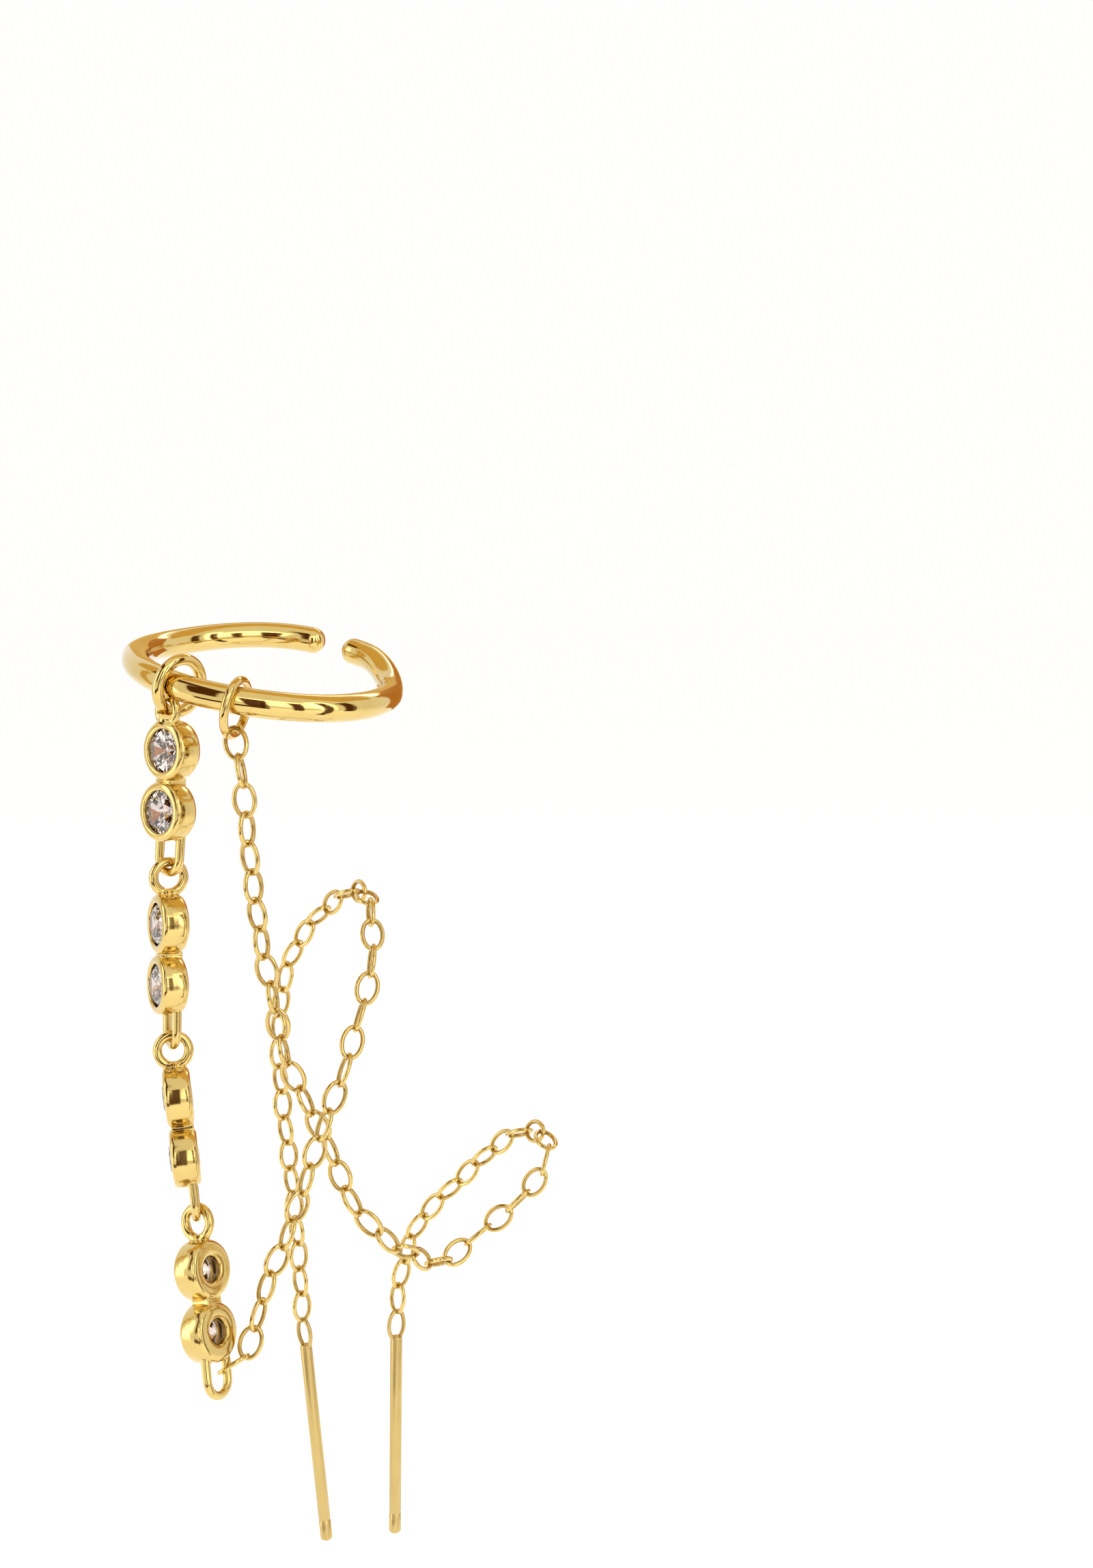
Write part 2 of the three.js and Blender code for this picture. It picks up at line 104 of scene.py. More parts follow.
class NodeBook:
    """The node tree of one material, with one way to add any node."""

    def __init__(self, name: str) -> None:
        """Starts an empty material.

        Args:
            name: The material's name.
        """
        self.material = bpy.data.materials.new(name)
        self.material.use_nodes = True
        self.tree = self.material.node_tree
        self.tree.nodes.clear()

    def add(
        self,
        kind: str,
        settings: dict[str, object] | None = None,
        values: dict[int | str, object] | None = None,
    ) -> bpy.types.Node:
        """Adds a node.

        Args:
            kind: The node's type.
            settings: Its settings, set before its sockets. A ramp's stops are "stops".
            values: Values or links of its inputs, by name or by number.

        Returns:
            The new node.
        """
        node = self.tree.nodes.new(kind)
        for key, value in (settings or {}).items():
            if key == "stops":
                ramp = node.color_ramp
                while len(ramp.elements) < len(value):
                    ramp.elements.new(1.0)
                for element, (place, colour) in zip(ramp.elements, value):
                    element.position = place
                    element.color = colour
            else:
                setattr(node, key, value)
        for key, value in (values or {}).items():
            if isinstance(value, Amount):
                self.tree.links.new(value.socket, node.inputs[key])
            elif isinstance(value, bpy.types.NodeSocket):
                self.tree.links.new(value, node.inputs[key])
            else:
                node.inputs[key].default_value = value
        return node

    def place(self) -> bpy.types.NodeSocket:
        """Gives the place on the object."""
        return self.add("ShaderNodeTexCoord").outputs["Object"]

    def noise(self, scale: float, detail: float, stretch: Sequence[float] = (1, 1, 1)) -> Amount:
        """Cloudy pattern.

        Args:
            scale: Clouds to a millimetre.
            detail: How many finer layers it has.
            stretch: How much closer it lies along X, Y and Z.

        Returns:
            Its strength, 0 to 1.
        """
        spread = self.add(
            "ShaderNodeMapping",
            {"vector_type": "POINT"},
            {"Vector": self.place(), "Scale": tuple(stretch)},
        )
        node = self.add(
            "ShaderNodeTexNoise",
            {"noise_dimensions": "3D"},
            {"Vector": spread.outputs[0], "Scale": scale / MM, "Detail": detail, "Roughness": 0.55},
        )
        return Amount(self, node.outputs[0])

    def painted(self, name: str) -> Amount:
        """Reads a number painted on the piece's points."""
        node = self.add("ShaderNodeAttribute", {"attribute_name": name})
        return Amount(self, node.outputs["Fac"])

    def band(self, amount: Amount, low: float, high: float) -> Amount:
        """Spreads a range of an amount over 0 to 1.

        Args:
            amount: What is spread.
            low: What becomes 0.
            high: What becomes 1.

        Returns:
            The spread amount, held within 0 and 1.
        """
        node = self.add(
            "ShaderNodeMapRange",
            {"clamp": True},
            {"Value": amount, "From Min": low, "From Max": high},
        )
        return Amount(self, node.outputs[0])

    def blend(self, share: Amount, first: object, second: object) -> bpy.types.NodeSocket:
        """Blend of two colours."""
        node = self.add("ShaderNodeMix", {"data_type": "RGBA"}, {0: share, 6: first, 7: second})
        return node.outputs[2]

    def bump(self, height: Amount, depth: float) -> bpy.types.NodeSocket:
        """Relief of a surface.

        Args:
            height: Its height, 0 to 1.
            depth: Millimetres between 0 and 1.

        Returns:
            The surface's direction.
        """
        values = {"Strength": 1.0, "Distance": depth * MM, "Height": height}
        node = self.add("ShaderNodeBump", {}, values)
        return node.outputs[0]

    def surface(self, values: dict[int | str, object]) -> Material:
        """Gives the material its surface.

        Args:
            values: Values or links of the surface's inputs.

        Returns:
            The material.
        """
        shader = self.add("ShaderNodeBsdfPrincipled", {}, values)
        self.add("ShaderNodeOutputMaterial", {}, {"Surface": shader.outputs[0]})
        return self.material


Colour = tuple[float, float, float, float]


class Polish(Enum):
    """How far a gold surface is polished, as its roughness."""

    BRIGHT = 0.07
    SOFT = 0.13
    SATIN = 0.3


@dataclass(frozen=True)
class GoldPlate:
    """Yellow gold plate over cast metal, with the waves that polishing leaves.

    Attributes:
        name: The material's name.
        polish: How far it is polished.
        tone: Colour of the clean plate.
        shade: Colour of the darker clouds, and of the painted shade in deep places.
        wave: Depth of the polishing waves in millimetres.
        wave_scale: Waves to a millimetre.
        grain: Depth of the fine grain in millimetres.
        gloss: Weight of the clear gloss over the plate.
        mottle: How far the clouds darken the plate.
        recess_shade: How far the painted shade darkens a deep place.
        streak: Roughness that the polishing streaks add.
        dull: Roughness that a deep place adds.
    """

    name: str
    polish: Polish
    tone: Colour = (0.72, 0.52, 0.16, 1.0)
    shade: Colour = (0.36, 0.2, 0.03, 1.0)
    wave: float = 0.006
    wave_scale: float = 0.9
    grain: float = 0.0006
    gloss: float = 0.7
    mottle: float = 0.16
    recess_shade: float = 0.75
    streak: float = 0.07
    dull: float = 0.12

    def material(self) -> Material:
        """Builds the material.

        Returns:
            The material.
        """
        book = NodeBook(self.name)
        cloud = book.noise(self.wave_scale, 2.0)
        grain = book.noise(14.0, 3.0)
        streak = book.noise(5.0, 2.0, (1.0, 1.0, 0.15))
        # Painted shade: the painted "hollow" amount darkens deep places towards the shade colour.
        hollow = book.painted("hollow")
        share = book.band(cloud, 0.45, 0.8) * self.mottle + hollow * self.recess_shade
        colour = book.blend(share, self.tone, self.shade)
        rough = self.polish.value + book.band(streak, 0.4, 0.75) * self.streak
        rough = rough + hollow * self.dull
        height = cloud + grain * (self.grain / self.wave)
        return book.surface(
            {
                "Base Color": colour,
                "Metallic": 1.0,
                "Roughness": rough,
                "Coat Weight": self.gloss,
                "Coat Roughness": 0.04,
                "Normal": book.bump(height, self.wave),
            }
        )


@dataclass(frozen=True)
class CutStone:
    """Clear stone with polished facets.

    Attributes:
        name: The material's name.
        painted_skin_tint: Colour of its body, pinkish as a painted reflection of skin behind the
            stone.
        bend: Refractive index.
    """

    name: str
    # Pinkish body colour: a painted reflection of skin behind the clear stone.
    painted_skin_tint: Colour = (0.78, 0.66, 0.6, 1.0)
    bend: float = 2.15

    def material(self) -> Material:
        """Builds the material.

        Returns:
            The material.
        """
        book = NodeBook(self.name)
        haze = book.band(book.noise(3.0, 3.0), 0.55, 0.8) * 0.03
        return book.surface(
            {
                "Base Color": self.painted_skin_tint,
                "Roughness": haze,
                "IOR": self.bend,
                "Transmission Weight": 1.0,
            }
        )


@dataclass(frozen=True)
class PlainPaper:
    """Matt pale studio paper.

    Attributes:
        name: The material's name.
        tone: Its colour.
    """

    name: str
    tone: Colour

    def material(self) -> Material:
        """Builds the material."""
        book = NodeBook(self.name)
        return book.surface(
            {"Base Color": self.tone, "Roughness": 0.9, "Specular IOR Level": 0.1}
        )


# Meshes


def wire_ring(radius: float, wire: float, steps: int, sides: int) -> Mesh:
    """Round ring of round wire about Z.

    Args:
        radius: Radius of the wire's middle.
        wire: Thickness of the wire.
        steps: Steps round the ring.
        sides: Sides round the wire.

    Returns:
        The ring's mesh.
    """
    mesh = bmesh.new()
    upright = Matrix.Translation((radius, 0, 0)) @ Matrix.Rotation(math.pi / 2, 4, "X")
    made = bmesh.ops.create_circle(mesh, segments=sides, radius=wire / 2, matrix=upright)
    edges = list({edge for vert in made["verts"] for edge in vert.link_edges})
    bmesh.ops.spin(
        mesh,
        geom=made["verts"] + edges,
        cent=(0, 0, 0),
        axis=(0, 0, 1),
        angle=2 * math.pi,
        steps=steps,
        use_merge=True,
    )
    return mesh


def turned_profile(profile: Sequence[tuple[float, float]], steps: int, closed: bool) -> Mesh:
    """Outline turned round Z.

    Args:
        profile: Corners as distance from the axis and height.
        steps: Steps round the axis.
        closed: Whether the last corner joins the first.

    Returns:
        The turned mesh.
    """
    mesh = bmesh.new()
    verts = [mesh.verts.new((r, 0, z)) for r, z in profile]
    pairs = list(zip(verts, verts[1:])) + ([(verts[-1], verts[0])] if closed else [])
    edges = [mesh.edges.new(pair) for pair in pairs]
    bmesh.ops.spin(
        mesh,
        geom=verts + edges,
        cent=(0, 0, 0),
        axis=(0, 0, 1),
        angle=2 * math.pi,
        steps=steps,
        use_merge=True,
    )
    bmesh.ops.remove_doubles(mesh, verts=mesh.verts, dist=1e-4)
    return mesh


def grown_rim(
    mesh: Mesh, edges: list[bmesh.types.BMEdge]
) -> tuple[list[bmesh.types.BMVert], list[bmesh.types.BMEdge]]:
    """Grows a rim of edges by one row of faces.

    Args:
        mesh: The mesh.
        edges: The rim.

    Returns:
        The new rim's points and edges.
    """
    grown = bmesh.ops.extrude_edge_only(mesh, edges=edges)["geom"]
    verts = [item for item in grown if isinstance(item, bmesh.types.BMVert)]
    edges = [item for item in grown if isinstance(item, bmesh.types.BMEdge)]
    return verts, [edge for edge in edges if edge.verts[0] in verts and edge.verts[1] in verts]


def joined(parts: Iterable[tuple[Mesh, Matrix]]) -> Mesh:
    """Copies of meshes in one mesh.

    Args:
        parts: Meshes and the places that they take.

    Returns:
        The mesh of them all.
    """
    whole = bmesh.new()
    # The "hollow" layer carries the painted shade.
    whole.verts.layers.float.new("hollow")
    for part, place in parts:
        passing = bpy.data.meshes.new("passing")
        part.to_mesh(passing)
        passing.transform(place)
        whole.from_mesh(passing)
        bpy.data.meshes.remove(passing)
    return whole


def smooth_step(share: float) -> float:
    """Eases a share in and out.

    Args:
        share: The share, held within 0 and 1.

    Returns:
        The eased share.
    """
    share = min(max(share, 0.0), 1.0)
    return share * share * (3 - 2 * share)


def wobble(mesh: Mesh, depth: float, scale: float) -> None:
    """Makes a surface as uneven as hand polishing leaves it.

    Args:
        mesh: The mesh.
        depth: Height of the waves.
        scale: Waves to a millimetre.
    """
    mesh.normal_update()
    moves = [vert.normal * depth * noise.noise(vert.co * scale) for vert in mesh.verts]
    for vert, move in zip(mesh.verts, moves):
        vert.co += move


def melted(mesh: Mesh, grain: float, rounds: int) -> Mesh:
    """Fuses overlapping parts to one skin with soft seams, as solder does.

    Args:
        mesh: The parts, each closed.
        grain: Size of the new skin's faces.
        rounds: How often the seams are eased.

    Returns:
        The fused mesh.
    """
    bmesh.ops.recalc_face_normals(mesh, faces=mesh.faces)
    data = bpy.data.meshes.new("passing")
    mesh.to_mesh(data)
    mesh.free()
    passing = bpy.data.objects.new("passing", data)
    bpy.context.scene.collection.objects.link(passing)
    skin = passing.modifiers.new("skin", "REMESH")
    skin.mode = "VOXEL"
    skin.voxel_size = grain
    ease = passing.modifiers.new("ease", "SMOOTH")
    ease.factor = 0.5
    ease.iterations = rounds
    fused = bmesh.new()
    fused.from_object(passing, bpy.context.evaluated_depsgraph_get())
    bpy.data.objects.remove(passing)
    bpy.data.meshes.remove(data)
    return fused


def paint(mesh: Mesh, depth: Callable[[Vector], float]) -> None:
    """Marks how much painted shade each point of a mesh gets.

    Args:
        mesh: The mesh.
        depth: Gives 0 for an open place and 1 for a deep one.
    """
    layer = mesh.verts.layers.float.get("hollow") or mesh.verts.layers.float.new("hollow")
    for vert in mesh.verts:
        vert[layer] = depth(vert.co)


def linked(name: str, mesh: Mesh, material: Material) -> bpy.types.Object:
    """Puts a mesh in the scene.

    Args:
        name: The object's name.
        mesh: The mesh, which is freed.
        material: Its material.

    Returns:
        The object.
    """
    data = bpy.data.meshes.new(name)
    mesh.to_mesh(data)
    mesh.free()
    data.materials.append(material)
    thing = bpy.data.objects.new(name, data)
    bpy.context.scene.collection.objects.link(thing)
    return thing


def finished(
    name: str,
    mesh: Mesh,
    material: Material,
    node: str,
    crease: float = 40.0,
) -> None:
    """Makes a mesh a piece of the ear cuff in place of its plain part.

    Args:
        name: The piece's name.
        mesh: Its mesh in millimetres.
        material: Its material.
        node: The plain part that it stands for.
        crease: Degrees from which an edge stays sharp, or 0 for plane facets.
    """
    bmesh.ops.recalc_face_normals(mesh, faces=mesh.faces)
    piece = linked(name, mesh, material)
    piece.data.transform(Matrix.Scale(MM, 4))
    if crease:
        piece.data.shade_smooth()
        piece.data.set_sharp_from_angle(angle=math.radians(crease))
    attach(piece, "root")
    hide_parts(node)
    LOG.info("%s: %d faces", name, len(piece.data.polygons))


# Cuff


@dataclass
class HungRing:
    """Round ring hung on the cuff's wire.

    Attributes:
        name: The piece's name.
        node: The plain part that it stands for.
        inner: Inside width.
        wire: Thickness of its wire.
        angle: Degrees round the cuff, from its rightmost point by the front.
        push: Degrees that its top is pushed in over the cuff's wire.
        turn: Degrees that it is turned about the upright.
    """

    name: str
    node: str
    inner: float
    wire: float
    angle: float
    push: float
    turn: float
    centre: Vector = field(default_factory=Vector)
    out: Vector = field(default_factory=Vector)
    frame: Matrix = field(default_factory=Matrix)

    def hang(self, cuff: "Cuff") -> None:
        """Finds the ring's place on the cuff.

        Args:
            cuff: The cuff that it hangs on.
        """
        point, out, along = cuff.place(self.angle)
        slack = (self.inner - cuff.wire) / 2 - cuff.clear
        about = Matrix.Rotation(math.radians(-self.turn), 3, "Z")
        out, along = about @ out, about @ along
        push = math.radians(self.push)
        self.centre = point - out * slack * math.sin(push) - Vector((0, 0, slack * math.cos(push)))
        self.out = out
        basis = Matrix((out, along.cross(out), along)).transposed().to_4x4()
        self.frame = cuff.tilt() @ Matrix.Translation(self.centre) @ basis

    def rest(self, cuff: "Cuff", hook: float) -> Vector:
        """Where a piece rests inside the ring.

        Args:
            cuff: The cuff that it hangs on.
            hook: Degrees to the front of its lowest point.

        Returns:
            The point.
        """
        angle = math.radians(hook)
        point = self.centre + self.out * (self.inner / 2) * math.sin(angle)
        point.z -= (self.inner / 2) * math.cos(angle)
        return cuff.tilt() @ point

    def build(self, material: Material) -> None:
        """Builds the ring.

        Args:
            material: Its material.
        """
        ring = wire_ring((self.inner + self.wire) / 2, self.wire, steps=72, sides=24)
        whole = joined([(ring, self.frame)])
        finished(self.name, whole, material, self.node)


@dataclass
class Cuff:
    """Open ring of round wire whose two ends climb at the back, with the rings on it."""

    radius: float = 5.97
    wire: float = 1.28
    tilt_front: float = 8.7
    roll_right: float = 9.2
    start: float = -52
    opening: float = 24
    rise: float = 0.78
    right_climb: float = 44
    left_climb: float = 84
    clear: float = 0.05
    wave: float = 0.012
    wave_scale: float = 0.35
    bail: HungRing = field(
        default_factory=lambda: HungRing("bail", "drop_bail", 1.9, 0.55, 123, 80, 6)
    )
    small_ring: HungRing = field(
        default_factory=lambda: HungRing("small_ring", "chain_ring", 2.12, 0.4, 93, 8, 12)
    )

    def tilt(self) -> Matrix:
        """Tips the cuff to the front and to the right."""
        return turned(self.tilt_front, self.roll_right, 0)

    def lift(self, degrees: float) -> float:
        """Height of the wire, which climbs towards both of its ends.

        Args:
            degrees: Degrees from the rightmost point by the front.

        Returns:
            The height.
        """
        right = smooth_step(-degrees / self.right_climb)
        left = smooth_step((degrees - self.end()) / self.left_climb + 1)
        return self.rise * (right + left)

    def end(self) -> float:
        """Angle of the wire's last point."""
        return self.start + 360 - self.opening

    def place(self, degrees: float) -> tuple[Vector, Vector, Vector]:
        """Middle of the wire at an angle.

        Args:
            degrees: Degrees from the rightmost point by the front.

        Returns:
            The point, the way out and the way along.
        """
        angle = math.radians(degrees)
        out = Vector((math.cos(angle), -math.sin(angle), 0))
        along = Vector((-math.sin(angle), -math.cos(angle), 0))
        point = out * self.radius
        point.z = self.lift(degrees)
        return point, out, along

    def mesh(self) -> Mesh:
        """Round wire spun through the cuff's turn, its two ends rounded.

        Returns:
            The wire's mesh.
        """
        mesh = bmesh.new()
        upright = Matrix.Translation((self.radius, 0, 0)) @ Matrix.Rotation(math.pi / 2, 4, "X")
        upright = Matrix.Rotation(math.radians(-self.start), 4, "Z") @ upright
        made = bmesh.ops.create_circle(mesh, segments=40, radius=self.wire / 2, matrix=upright)
        first = list(made["verts"])
        edges = list({edge for vert in first for edge in vert.link_edges})
        span = 360 - self.opening
        spun = bmesh.ops.spin(
            mesh,
            geom=first + edges,
            cent=(0, 0, 0),
            axis=(0, 0, -1),
            angle=math.radians(span),
            steps=200,
            use_merge=False,
        )
        last = [item for item in spun["geom_last"] if isinstance(item, bmesh.types.BMVert)]
        for verts, degrees, way in ((first, self.start, -1), (last, self.end(), 1)):
            self.round_end(mesh, verts, degrees, way)
        middle = self.start - self.opening / 2
        for vert in mesh.verts:
            degrees = math.degrees(math.atan2(-vert.co.y, vert.co.x))
            degrees = (degrees - middle) % 360 + middle
            vert.co.z += self.lift(min(max(degrees, self.start), self.end()))
        wobble(mesh, self.wave, self.wave_scale)
        return mesh

    def round_end(
        self, mesh: Mesh, verts: list[bmesh.types.BMVert], degrees: float, way: int
    ) -> None:
        """Draws an end of the wire in to a dome.

        Args:
            mesh: The wire's mesh.
            verts: The ring of points at the end.
            degrees: Where the end is.
            way: 1 for the way round the cuff, -1 for the way back.
        """
        _, out, along = self.place(degrees)
        centre = out * self.radius
        steps = 10
        size, shift = 1.0, 0.0
        edges = [edge for edge in mesh.edges if edge.verts[0] in verts and edge.verts[1] in verts]
        for step in range(1, steps + 1):
            angle = 0.5 * math.pi * step / steps
            verts, edges = grown_rim(mesh, edges)
            new_size, new_shift = max(math.cos(angle), 0.02), math.sin(angle) * self.wire / 2
            middle = centre + along * way * shift
            for vert in verts:
                offset = vert.co - middle
                vert.co = centre + along * way * new_shift + offset * (new_size / size)
            size, shift = new_size, new_shift
        bmesh.ops.contextual_create(mesh, geom=edges)

    def build(self, material: Material) -> None:
        """Builds the cuff and its two rings.

        Args:
            material: Their material.
        """
        whole = joined([(self.mesh(), self.tilt())])
        finished("cuff_wire", whole, material, "cuff_ring")
        for ring in (self.bail, self.small_ring):
            ring.hang(self)
            ring.build(material)


# Stones


@dataclass
class Brilliant:
    """Round brilliant: table, star, kite and girdle facets over a pointed pavilion."""

    diameter: float = 2.0
    table: float = 1.12
    crown: float = 0.27
    girdle: float = 0.05
    pavilion: float = 0.84
    star: float = 0.79
    lower: float = 0.24

    def mesh(self, low: float) -> Mesh:
        """Hull through the stone's corners.

        Args:
            low: Height of the girdle's lower edge.

        Returns:
            The stone, with its table up along Z.
        """
        radius = self.diameter / 2
        high = low + self.girdle
        slope = self.crown / (radius - self.table / 2)
        steep = self.pavilion / radius
        half = math.cos(math.pi / 8)
        rows = (
            (self.table / 2, high + self.crown, 8, 0.0),
            (self.star * radius, high + (radius - self.star * radius * half) * slope, 8, 0.5),
            (radius, high, 16, 0.0),
            (radius, low, 16, 0.0),
            (self.lower * radius, low - (radius - self.lower * radius * half) * steep, 8, 0.5),
        )
        mesh = bmesh.new()
        for size, height, count, offset in rows:
            for side in range(count):
                angle = 2 * math.pi * (side + offset) / count
                mesh.verts.new((size * math.cos(angle), size * math.sin(angle), height))
        mesh.verts.new((0, 0, low - self.pavilion))
        bmesh.ops.convex_hull(mesh, input=mesh.verts)
        bmesh.ops.dissolve_limit(
            mesh, angle_limit=math.radians(1.5), verts=mesh.verts, edges=mesh.edges
        )
        return mesh


# Drop


# Rounded edges of a cup. A pair is a distance from the axis, or past the outer wall at
# the front and the rear edge, and a height over the mouth or over the back.
MOUTH_EDGE = (
    (0.965, -0.12),
    (0.975, -0.05),
    (1.01, -0.008),
    (1.06, 0.01),
    (1.14, 0.005),
    (1.22, -0.015),
)
FRONT_EDGE = ((-0.08, -0.05), (-0.03, -0.11), (-0.005, -0.2), (0.01, -0.42))
REAR_EDGE = (
    (0.01, 0.55),
    (-0.01, 0.33),
    (-0.045, 0.19),
    (-0.11, 0.08),
    (-0.2, 0.02),
    (-0.33, 0.0),
)
HOLE_EDGE = ((0.9, 0.0), (0.75, 0.015), (0.64, 0.05), (0.58, 0.11), (0.555, 0.19), (0.55, 0.28))


@dataclass
class Cup:
    """Bezel cup that holds one stone, open at its back."""

    diameter: float = 2.74
    front: float = 0.62
    rear: float = 0.64
    lip: float = 0.14
    clear: float = 0.05
    seat: float = 1.04
    seat_foot: float = 0.99
    seat_low: float = 0.28
    seat_high: float = 0.36
    seat_depth: float = 0.17
    # Painted shade: full inside the cup behind the stone, within hollow and between hollow_top and
    # hollow_foot; hole_depth of it in the hole at the back.
    hollow: float = 1.06
    hollow_top: float = 0.1
    hollow_foot: float = 0.3
    hole: float = 0.62
    hole_depth: float = 0.6

    def stone_height(self, stone: Brilliant) -> float:
        """Height of the girdle's lower edge over the cup's middle."""
        return self.front - self.lip - stone.girdle - self.clear

    def outline(self) -> list[tuple[float, float]]:
        """Outline of the cup's wall, from its mouth out, back and in again.

        Returns:
            Corners as distance from the axis and height.
        """
        half, front, rear = self.diameter / 2, self.front, self.rear
        corners = [(radius, front + rise) for radius, rise in MOUTH_EDGE]
        corners += [(half + out, front + rise) for out, rise in FRONT_EDGE]
        corners += [(half + out, rise - rear) for out, rise in REAR_EDGE]
        corners += [(radius, rise - rear) for radius, rise in HOLE_EDGE]
        corners += [(self.seat_foot, self.seat_low), (self.seat, self.seat_high)]
        return corners + [(self.seat, front - self.seat_depth)]

    def depth(self, point: Vector) -> float:
        """How much painted shade a place of the cup gets, by how deep it lies.

        Args:
            point: The place, with the table side along Z.

        Returns:
            0 for an open place and 1 for a deep one.
        """
        radius = math.hypot(point.x, point.y)
        top, foot = self.front - self.hollow_top, self.hollow_foot - self.rear
        if radius < self.hollow and top > point.z > foot:
            return 1.0
        return self.hole_depth if radius < self.hole else 0.0

    def mesh(self) -> Mesh:
        """The cup, with its mouth up along Z."""
        return turned_profile(self.outline(), steps=72, closed=True)


@dataclass(frozen=True)
class Hang:
    """How one link of the drop hangs, in degrees."""

    turn: float
    lean: float
    tilt: float


@dataclass
class Pair:
    """One link of the drop: two cups with their stones, a ring above and a loop below."""

    number: int
    hang: Hang
    point: Vector
    first_inner: float
    cup: Cup = field(default_factory=Cup)
    stone: Brilliant = field(default_factory=Brilliant)
    pitch: float = 2.78
    neck: tuple[float, float, float] = (0.9, 1.0, 0.6)
    neck_back: float = 0.05
    ring_inner: float = 0.98
    ring_wire: float = 0.44
    ring_sink: float = 0.18
    foot: tuple[float, float, float] = (0.7, 0.4, 0.02)
    first_wire: float = 0.4
    first_forward: float = 0.4
    first_foot: tuple[float, float, float] = (1.1, 0.5, 0.05)
    loop_width: float = 1.8
    loop_wire: float = 0.42
    loop_drop: float = 1.64
    loop_back: float = 0.22
    loop_sink: float = 0.45
    clear: float = 0.05
    grain: float = 0.028
    ease: int = 8
    stone_turn: float = 9
    stone_step: float = 23
    wave: float = 0.02
    wave_scale: float = 0.8

    def heights(self) -> tuple[float, float, float]:
        """Heights of the link's parts under its hanging point.

        Returns:
            Heights of the upper cup, the lower cup and the lower cup's bottom.
        """
        top = self.ring_sink - self.ring_inner - self.ring_wire
        if self.number == 1:
            top = -self.first_inner
        upper = top - self.cup.diameter / 2
        lower = upper - self.pitch
        return upper, lower, lower - self.cup.diameter / 2

    def frame(self) -> Matrix:
        """Place of the link, its hanging point at the origin.

        Returns:
            The place.
        """
        spot = self.point + Vector((0, 0, self.clear))
        if self.number == 1:
            about = Matrix.Rotation(math.radians(self.hang.turn), 3, "Z")
            spot += about @ Vector((0, self.first_forward, 0))
        return Matrix.Translation(spot) @ turned(self.hang.tilt, self.hang.lean, self.hang.turn)

    def rest(self) -> Vector:
        """Where the next link hangs in the loop."""
        bottom = self.heights()[2]
        return self.frame() @ Vector((0, self.loop_back, bottom - self.loop_drop + self.loop_wire))

    def loop(self) -> Mesh:
        """U of wire, open at its top, its ends sunk in the cup.

        Returns:
            The loop's mesh.
        """
        half = (self.loop_width - self.loop_wire) / 2
        leg = self.loop_drop + self.loop_sink - half - self.loop_wire / 2
        mesh = bmesh.new()
        flat = Matrix.Translation((-half, 0, -leg))
        made = bmesh.ops.create_circle(mesh, segments=20, radius=self.loop_wire / 2, matrix=flat)
        first = list(made["verts"])
        edges = list({edge for vert in first for edge in vert.link_edges})
        spun = bmesh.ops.spin(
            mesh,
            geom=first + edges,
            cent=(0, 0, -leg),
            axis=(0, -1, 0),
            angle=math.pi,
            steps=28,
            use_merge=False,
        )
        last = [item for item in spun["geom_last"] if isinstance(item, bmesh.types.BMEdge)]
        for ends in (edges, last):
            tops, rim = grown_rim(mesh, ends)
            bmesh.ops.translate(mesh, verts=tops, vec=(0, 0, leg))
            bmesh.ops.contextual_create(mesh, geom=rim)
        return mesh

    def solder(self, width: float, height: float) -> Mesh:
        """Small waisted bead of solder.

        Args:
            width: Width of its two ends.
            height: Its length along Z.

        Returns:
            The bead.
        """
        half = height / 2
        rows = [(0, half), (width / 2, half), (width * 0.4, half * 0.45), (width * 0.36, 0)]
        rows += [(r, -z) for r, z in reversed(rows[:-1])]
        return turned_profile(rows, steps=24, closed=False)

    def setting(self) -> Mesh:
        """The link's metal, hanging from the origin.

        Returns:
            The fused mesh.
        """
        upper, lower, bottom = self.heights()
        out = Matrix.Rotation(math.pi / 2, 4, "X")
        cup = self.cup.mesh()
        at = Matrix.Translation
        parts = [(cup, at((0, 0, upper)) @ out), (cup, at((0, 0, lower)) @ out)]
        neck = bmesh.new()
        bmesh.ops.create_cube(neck, size=1.0, matrix=Matrix.Diagonal((*self.neck, 1)))
        parts.append((neck, at((0, self.neck_back, (upper + lower) / 2))))
        if self.number == 1:
            inner = self.first_inner / 2
            ring = wire_ring(inner + self.first_wire / 2, self.first_wire, steps=40, sides=16)
            parts.append((ring, at((0, -self.first_forward, -inner)) @ out))
            width, height, rise = self.first_foot
            foot = at((0, -self.first_forward, upper + self.cup.diameter / 2 + rise))
        else:
            middle = (self.ring_inner + self.ring_wire) / 2
            ring = wire_ring(middle, self.ring_wire, steps=56, sides=20)
            across = Matrix.Rotation(math.pi / 2, 4, "Y")
            parts.append((ring, at((0, 0, -self.ring_inner / 2)) @ across))
            width, height, rise = self.foot
            foot = at((0, 0, upper + self.cup.diameter / 2 + rise))
        parts.append((self.solder(width, height), foot))
        parts.append((self.loop(), at((0, self.loop_back, bottom + self.loop_sink))))
        metal = melted(joined(parts), self.grain, self.ease)
        wobble(metal, self.wave, self.wave_scale)
        # Paints shade inside the cups and in the holes at their backs.
        paint(metal, self.depth)
        return metal

    def depth(self, point: Vector) -> float:
        """How much painted shade a place of the link gets, by how deep it lies.

        Args:
            point: The place.

        Returns:
            0 for an open place and 1 for a deep one.
        """
        middles = self.heights()[:2]
        middle = min(middles, key=lambda height: abs(height - point.z))
        return self.cup.depth(Vector((point.x, point.z - middle, -point.y)))

